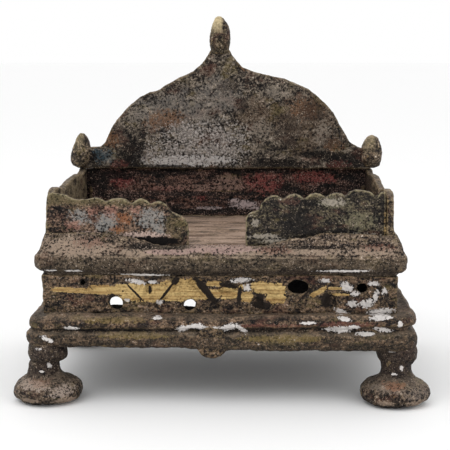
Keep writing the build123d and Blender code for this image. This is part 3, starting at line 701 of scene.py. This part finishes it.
cover(surface, (surface["z"] + surface["mottle"] * 4).rising(64.6, 66.6) * 0.7, paint(98, 88, 60))
olive_end = [(-14.5, 56, 4, 5)]
daub(surface, olive_end, paint(92, 82, 56), amount=0.6, ragged=0.8, size=1.6, soft=0.9)
# The pale rubbed rims are also a painted highlight.
weather(surface, edge_wear_and_highlight=0.8, rub_and_highlight=paint(160, 148, 116))
pale_powder = [(-42, 53.0, 9, 2.0), (-25, 53.8, 8, 1.2)]
daub(
    surface, pale_powder, paint(200, 176, 164), amount=0.8, ragged=1.3, size=0.7, soft=0.5, rough=0.9,
    lift=0.4,
)
# Painted shadow along the parapet's foot, and a dark crack where it laps the side wall.
foot_shadow_and_crack = [(-22, 52.0, 11.0, 1.7), (-52.4, 62.2, 2.2, 0.4, -25)]
daub(surface, foot_shadow_and_crack, SOOT_AND_SHADE, ragged=0.5, size=1.2, soft=0.4, rough=0.95)
dress(left, surface)
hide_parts("left_parapet")

right = draw_sheet("right_parapet_skin", "x", right_rim, PARAPET_FOOT, PARAPET_ACROSS, PARAPET_THICKNESS)
cast_skin(right, 0.4, [(7, 0.6), (2.0, 0.3), (0.8, 0.16)])
surface = old_brass(
    "right_parapet_brass", tone=(54, 47, 37), paler=(82, 74, 57), darker=(30, 25, 21), face=(-35.8, -36.8)
)
dusty = [(36, 64.6, 6, 2.4), (44, 59, 6, 4)]
daub(surface, dusty, paint(122, 116, 92), amount=0.5, ragged=0.9, size=1.8, soft=0.9)
soot = [(24, 58, 6.5, 4.6), (33, 55, 6, 2)]
daub(surface, soot, SOOT_AND_SHADE, amount=0.85, ragged=0.8, size=1.8, soft=0.6)
red_powder = [(22, 65, 4, 1.4), (48, 54, 4, 2)]
daub(surface, red_powder, paint(88, 58, 48), amount=0.5, ragged=0.9, size=1.2, soft=0.8)
# The pale rubbed rims are also a painted highlight.
weather(surface, edge_wear_and_highlight=0.8, rub_and_highlight=paint(160, 148, 116))
grains = [
    (14, 53.6, 5, 0.9), (20, 52, 7, 0.9), (43, 53.6, 9, 1.3), (11, 58, 1.4, 1.4), (35.6, 64.6, 4.2, 1.4),
]
daub(
    surface, grains, paint(178, 168, 154), amount=0.6, ragged=1.3, size=0.7, soft=0.5, rough=0.9,
    lift=0.4,
)
dress(right, surface)
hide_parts("right_parapet")

# ---- Crest plate ------------------------------------------------------------------------------------
# A thick cast sheet filed to an ogee with level shoulders. Its lower edge overhangs the rear wall. Ash
# from the rites has dried pale on its left and middle, over rust brown and black.
gable = [
    (-54.9, 75.9), (-51, 76.6), (-47.8, 76.7), (-45.9, 78.3), (-43.2, 83.9), (-41.4, 86.6), (-39.4, 89.0),
    (-37.4, 91.1), (-35.4, 92.9), (-32.5, 95.6), (-28.8, 97.3), (-26.4, 97.7), (-24.6, 98.6),
    (-23.1, 99.9), (-20, 101.3), (-17.5, 102.7), (-15, 103.6), (-12.7, 105.0), (-10.0, 107.3),
    (-8.2, 109.4), (-7.0, 111.3), (-6.4, 113.0), (0.8, 113.0), (1.8, 111.0), (3.4, 109.1), (5.6, 106.6),
    (9.6, 104.9), (15.0, 103.6), (21.7, 102.2), (27.3, 99.7), (30.6, 97.9), (33.7, 95.8), (37.9, 91.7),
    (39.8, 89.4), (41.4, 86.9), (44.0, 82.0), (46.3, 78.9), (49.4, 77.0), (54.0, 76.0),
]
CREST_FOOT, CREST_ACROSS, CREST_THICKNESS = 68.6, 33.8, 2.6
crest = draw_sheet("crest_skin", "x", gable, CREST_FOOT, CREST_ACROSS, CREST_THICKNESS)
cast_skin(crest, 0.45, [(9, 0.8), (2.6, 0.35), (0.9, 0.16)])
surface = old_brass(
    "crest_brass", tone=(86, 77, 66), paler=(116, 106, 94), darker=(46, 39, 34), streak=0.7, face=(34.5, 33.5)
)
thin_ash = [(-16, 90, 20, 10), (-4, 95, 11, 9)]
daub(surface, thin_ash, paint(134, 127, 120), amount=0.5, ragged=0.9, size=4.0, soft=1.0, rough=0.8)
brown_bloom = [(30, 86, 16, 14), (12, 89, 9, 8)]
daub(surface, brown_bloom, paint(90, 71, 54), amount=0.5, ragged=0.9, size=3.0, soft=1.0)
rust = [(-23.5, 87, 8.5, 4.2, 6), (-44, 80, 3, 5, 60), (8, 107, 4, 2), (29, 91, 6.5, 4.4), (40, 78, 4, 3)]
daub(surface, rust, paint(108, 76, 52), amount=0.8, ragged=1.0, size=1.4, soft=0.9)
pale_flakes = [(36, 82, 4, 5), (18, 97, 6, 3), (-34, 89, 5, 4), (12, 84, 6, 4)]
daub(surface, pale_flakes, paint(146, 136, 124), amount=0.5, ragged=1.1, size=1.2, soft=1.1, rough=0.8)
dark_flakes = [
    (0, 99.6, 4, 2.6), (23, 82, 5, 7), (-41, 84, 2, 5, 55), (6, 92, 2, 4), (31, 90, 6, 5), (40, 79, 5, 3),
]
daub(surface, dark_flakes, paint(48, 38, 32), amount=0.65, ragged=1.1, size=1.3, soft=0.9)
ash = [(-14, 75.5, 17, 6.5), (-26, 73.5, 8, 4.4), (0, 78, 8, 8), (-12, 82, 14, 4)]
daub(
    surface, ash, paint(150, 142, 136), amount=0.7, ragged=1.1, size=2.4, soft=1.2, rough=0.88, metal=0.0,
    lift=0.25,
)
thick_ash = patches(surface, ash, 1.2, 0.8, 0.9) * surface["fine"].rising(0.5, 0.64)
cover(surface, thick_ash * 0.65, paint(196, 188, 182), rough=0.9, metal=0.0, lift=0.2)
ash_rim = [(-17, 71.4, 15, 2.2), (-3, 72, 6, 1.4)]
daub(
    surface, ash_rim, paint(196, 190, 186), amount=0.8, ragged=1.2, size=1.2, soft=0.5, rough=0.9,
    metal=0.0, lift=0.3,
)
# Here these dark patches are lamp smoke, with no painted shadow.
smoke_and_shadow = [
    (-35.6, 74.4, 4.8, 6.6, -30), (20, 70.6, 12, 2.0), (44, 71.6, 8, 3.6), (-28, 69.4, 20, 0.9),
    (34, 74, 8, 1.6), (-50, 72, 4, 4),
]
daub(surface, smoke_and_shadow, SOOT_AND_SHADE, amount=0.88, ragged=0.8, size=1.6, soft=0.5, rough=0.95)
red_powder = [(-40.4, 69.8, 4, 2.4), (42, 70, 5, 2)]
daub(surface, red_powder, paint(104, 58, 52), amount=0.55, ragged=1.0, size=1.3, soft=1.0)
blue_powder = [(-46, 73.4, 4, 3.2), (-49, 75.4, 2, 1.4)]
daub(surface, blue_powder, paint(72, 92, 102), amount=0.5, ragged=1.2, size=1.0, soft=1.0)
weather(surface, edge_wear_and_highlight=0.35, grit=0.9)
dress(crest, surface)
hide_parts("crest_plate")

# ---- Bud finials ------------------------------------------------------------------------------------
# Small cast buds: one socketed over the tongue on the peak, one slotted over each shoulder. A creamy
# highlight is painted on the left of each point.


def turn(name, x, y, profile):
    """Draws a round piece on an upright axis, from foot to top: each ring of the profile is its radius, its
    level and, where the axis wanders, its shift along X."""
    radius, level, *shift = profile[0]
    location = (x * MM, y * MM, level * MM)
    bpy.ops.mesh.primitive_circle_add(vertices=32, radius=radius * MM, location=location)
    piece = edit_new(name)
    aside = 0.0
    for (from_radius, from_level, *_), (radius, level, *shift) in zip(profile, profile[1:]):
        step = (shift[0] if shift else 0.0) - aside
        aside += step
        move = {"value": (step * MM, 0, (level - from_level) * MM)}
        bpy.ops.mesh.extrude_region_move(TRANSFORM_OT_translate=move)
        grown = radius / from_radius
        centre = ((x + aside) * MM, y * MM, level * MM)
        bpy.ops.transform.resize(value=(grown, grown, 1), center_override=centre)
    bpy.ops.mesh.edge_face_add()
    bpy.ops.mesh.select_all(action="DESELECT")
    bm = bmesh.from_edit_mesh(piece.data)
    for edge in bm.edges:
        edge.select_set(all(vert.co.z < (profile[0][1] + 0.001) * MM for vert in edge.verts))
    bpy.ops.mesh.edge_face_add()
    bpy.ops.mesh.select_all(action="SELECT")
    bpy.ops.mesh.normals_make_consistent(inside=False)
    bpy.ops.object.mode_set(mode="OBJECT")
    return piece


peak_bud = [
    (3.2, 111.6), (3.7, 114.0), (3.95, 116.8), (3.8, 119.2), (3.2, 121.6), (2.4, 123.4, -0.2),
    (1.5, 124.8, -0.3), (0.6, 125.5, -0.3),
]
left_bud = [
    (1.2, 69.0), (2.8, 69.7, -0.3), (3.6, 71.2, -0.4), (3.9, 73.2, -0.3), (3.6, 75.6, -0.1), (2.9, 78.0, 0.1),
    (2.0, 80.2, 0.2), (0.8, 81.7, 0.2),
]
right_bud = [
    (1.2, 69.0), (2.9, 69.8), (3.7, 71.8), (3.9, 74.3), (3.7, 76.6), (3.0, 78.9, 0.2), (1.9, 80.6, 0.2),
    (0.6, 81.4, 0.2),
]
for name, x, profile, highlight, tone in (
    ("crest", -2.8, peak_bud, 0.95, (88, 76, 56)),
    ("left_shoulder", -54.8, left_bud, 0.2, (92, 80, 68)),
    ("right_shoulder", 54.4, right_bud, 0.25, (98, 84, 70)),
):
    finial = turn(f"{name}_bud", x, CREST_ACROSS, profile)
    cast_skin(finial, 0.3, [(4, 0.5), (1.4, 0.3), (0.7, 0.14)])
    surface = old_brass(f"{name}_bud_brass", tone=tone, paler=(126, 111, 92), streak=1.0, face=(35, 34))
    base_level, tip_level = profile[1][1], profile[-1][1]
    uneven = surface["z"] + surface["mottle"] * 4
    cover(surface, uneven.rising(base_level + 6, base_level + 2) * 0.5, paint(66, 58, 40))
    weather(surface, edge_wear_and_highlight=0.6)
    # Painted highlight: a creamy patch on the left of the point.
    tip = (surface["z"] + surface["mottle"] * 6).rising(tip_level - 5.0, tip_level + 1.6)
    facing_left = surface["x"].rising(x + 1.8, x + 0.4)
    cover(surface, tip * facing_left * highlight, paint(206, 188, 148), rough=0.45, metal=0.4)
    dress(finial, surface)
    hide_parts(f"{name}_finial")

# ---- Feet -------------------------------------------------------------------------------------------
# Four cast feet, each a broad uneven bell under a waisted stem and a collar. Its tenon goes up through the
# plinth's pad and is hammered over.
FOOT_ACROSS, FOOT_OUT = 56.2, 38.8
LEVELLED = 0.2  # filed off the underside
for name, side, end, twist in (
    ("front_left", -1, -1, 0.2),
    ("front_right", 1, -1, 2.1),
    ("rear_left", -1, 1, 3.6),
    ("rear_right", 1, 1, 5.0),
):
    x, y = side * FOOT_ACROSS, end * FOOT_OUT
    waist, collar = (-1.0, 0.3) if name == "front_left" else (-0.2 * side, -1.2 * side)
    bun = [
        (6.4, 0.0), (8.8, 0.5), (10.5, 1.6), (11.2, 3.2), (11.0, 4.8), (10.0, 6.2), (8.4, 7.3),
        (6.6, 8.2), (5.5, 9.2, waist), (5.0, 10.5, waist), (4.9, 12.8, waist), (5.4, 13.5, collar * 0.6),
        (6.2, 14.4, collar), (6.4, 15.8, collar), (6.2, 17.6, collar * 0.6), (5.6, 19.6), (2.2, 19.7),
        (2.2, 21.4), (3.2, 21.5), (3.1, 22.3), (1.8, 22.7),
    ]
    foot = turn(f"{name}_foot_skin", x, y, bun)
    bpy.ops.object.mode_set(mode="EDIT")
    bpy.ops.mesh.select_all(action="SELECT")
    bpy.ops.transform.rotate(value=twist, orient_axis="Z", center_override=(x * MM, y * MM, 0))
    bpy.ops.object.mode_set(mode="OBJECT")
    cast_skin(foot, 0.42, [(8, 1.2), (2.6, 0.6), (0.9, 0.22)])
    bpy.ops.object.mode_set(mode="EDIT")
    bpy.ops.mesh.select_all(action="SELECT")
    away = {"use_fill": True, "clear_inner": True, "threshold": CLOSE}
    bpy.ops.mesh.bisect(plane_co=(0, 0, LEVELLED * MM), plane_no=(0, 0, 1), **away)
    bpy.ops.mesh.select_all(action="SELECT")
    bpy.ops.transform.translate(value=(0, 0, -LEVELLED * MM))
    if name == "front_left":
        bpy.ops.mesh.bisect(plane_co=((x - 4) * MM, 0, 0), plane_no=(-0.09, 0, 1), **away)
    bpy.ops.object.mode_set(mode="OBJECT")
    tone = (74, 60, 48) if side < 0 else (64, 51, 41)
    surface = old_brass(
        f"{name}_foot_brass", tone=tone, paler=(106, 91, 76), streak=0.8, face=(y + 3, y - 1)
    )
    cover(surface, (surface["z"] + surface["mottle"] * 4).rising(9.4, 11.4) * 0.75, paint(44, 34, 29))
    dusty = patches(surface, [(x - 3, 6.6, 6, 1.4), (x + 6, 5, 4, 2)], 1.1, 1.2, 0.8)
    cover(surface, dusty * (0.9 if side < 0 else 0.3), paint(166, 150, 138), rough=0.8)
    rust = [(x - 1, 7.4, 4, 1.2)]
    daub(
        surface, rust, paint(132, 78, 46), amount=0.65 if side > 0 else 0.3, ragged=0.9, size=1.2,
        soft=0.7,
    )
    weather(surface, edge_wear_and_highlight=0.5, grit=0.8, pits=0.95)
    rubbed_rim = [(x + 6.5, 1.8, 4, 1.4), (x - 4, 2.2, 3, 0.9)]
    daub(
        surface, rubbed_rim, paint(172, 150, 130), amount=0.5, ragged=0.9, size=1.0, soft=0.5, rough=0.55,
        metal=0.2,
    )
    lime_drips = [(x + 1.4, 12.4, 0.6, 1.0, 20), (x - 1, 10.4, 1.0, 0.4), (x - 2, 18, 1.4, 0.4)]
    daub(surface, lime_drips, LIME, ragged=0.8, size=0.8, soft=0.3, rough=0.9, lift=0.4)
    dress(foot, surface)
    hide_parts(f"{name}_foot")

# ---- Pendant boss -----------------------------------------------------------------------------------
# A round lump of brass brazed to the front roll, a little left of the middle, so that it hangs below it. Its
# face is as lumpy and worn as the roll's.
BOSS_RADIUS, BOSS_THICKNESS = 5.3, 3.2
BOSS_ACROSS, BOSS_OUT, BOSS_LEVEL = -2.8, -43.0, 20.5
bpy.ops.mesh.primitive_cylinder_add(
    vertices=32,
    radius=BOSS_RADIUS * MM,
    depth=BOSS_THICKNESS * MM,
    location=(BOSS_ACROSS * MM, BOSS_OUT * MM, BOSS_LEVEL * MM),
    rotation=(math.pi / 2, 0, 0),
)
boss = edit_new("boss_skin")
bpy.ops.mesh.bevel(offset=0.8 * MM, segments=2)
bpy.ops.object.mode_set(mode="OBJECT")
cast_skin(boss, 0.35, [(5, 0.6), (1.8, 0.4), (0.8, 0.2)])
surface = old_brass("boss_brass", tone=(92, 76, 54))
weather(surface)
dress(boss, surface)
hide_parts("pendant_boss")

# ---- Brazing ----------------------------------------------------------------------------------------
# Brass spelter run up the four inner corners and the right front joint: lumpy yellow beads that were never
# dressed off. Those at the rear are painted dark, as shade in the rear corners.
RUN_START, BEAD_STEP, RUN_BEADS = 51.0, 0.95, 12
runs = [  # across, outward, and how far the beads spread
    (-51.6, -34.6, 0.9), (51.6, -34.6, 0.9), (-51.6, 34.6, 0.9), (51.6, 34.6, 0.9), (51.9, -37.6, 0.5),
]
beads = []
for x, y, spread in runs:
    for step in range(RUN_BEADS):
        level = RUN_START + step * BEAD_STEP
        size = spread * (0.85 + 0.3 * math.sin(step * 2.3 + x))
        location = (x * MM, y * MM, level * MM)
        bpy.ops.mesh.primitive_ico_sphere_add(subdivisions=2, radius=size * MM, location=location)
        beads.append(edit_new("bead"))
        bpy.ops.object.mode_set(mode="OBJECT")
for bead in beads:
    bead.select_set(True)
bpy.context.view_layer.objects.active = beads[0]
bpy.ops.object.join()
braze = bpy.context.object
braze.name = "braze_beads"
bpy.ops.object.select_all(action="DESELECT")
cast_skin(braze, 0.25, [(1.6, 0.3)])
surface = old_brass("braze_brass", tone=(150, 122, 76), paler=(182, 150, 96), darker=(92, 70, 46))
weather(surface, grit=0.3)
# Painted shade: the beads in the rear corners are darkened.
cover(surface, surface["y"].rising(0, 20) * 0.85, paint(48, 38, 30))
dress(braze, surface)
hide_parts("corner_braze")

# ---- Floor, light and camera ------------------------------------------------------------------------
# A pale paper floor under even white light, with a large soft lamp above at the left and a weaker one at the
# right, as for a catalogue. The camera looks a little down and a little to the left.
FLOOR_SIZE = 40  # metres
FLOOR_DROP = 0.02  # keeps the paper clear of the feet, in millimetres
bpy.ops.mesh.primitive_plane_add(size=FLOOR_SIZE, location=(0, 0, -FLOOR_DROP * MM))
floor = bpy.context.object
floor.name = "floor"
paper = bpy.data.materials.new("paper")
paper.use_nodes = True
paper.node_tree.nodes["Principled BSDF"].inputs["Base Color"].default_value = (0.97, 0.97, 0.97, 1)
paper.node_tree.nodes["Principled BSDF"].inputs["Roughness"].default_value = 0.9
floor.data.materials.append(paper)

world = bpy.data.worlds.new("studio")
bpy.context.scene.world = world
world.use_nodes = True
world.node_tree.nodes["Background"].inputs["Color"].default_value = (1, 1, 1, 1)
world.node_tree.nodes["Background"].inputs["Strength"].default_value = 1.0
LAMP_SIZE = 0.6  # metres
for place, aim, power in (
    ((-0.35, -0.45, 0.75), (math.radians(38), 0, math.radians(-38)), 1.6),
    ((0.55, -0.5, 0.35), (math.radians(66), 0, math.radians(47)), 0.4),
):
    bpy.ops.object.light_add(type="AREA", location=place, rotation=aim)
    lamp = bpy.context.object
    lamp.data.shape = "SQUARE"
    lamp.data.size = LAMP_SIZE
    lamp.data.energy = power

LOOK_DOWN, LOOK_ASIDE = 8.12, 1.66  # degrees
CAMERA_PLACE = (12.2 * MM, -409.7 * MM, 110.4 * MM)
bpy.ops.object.camera_add(
    location=CAMERA_PLACE, rotation=(math.radians(90 - LOOK_DOWN), 0, math.radians(LOOK_ASIDE))
)
camera = bpy.context.object
camera.data.lens = 94.4
camera.data.sensor_width = 36
camera.data.clip_start = 0.01
bpy.context.scene.camera = camera
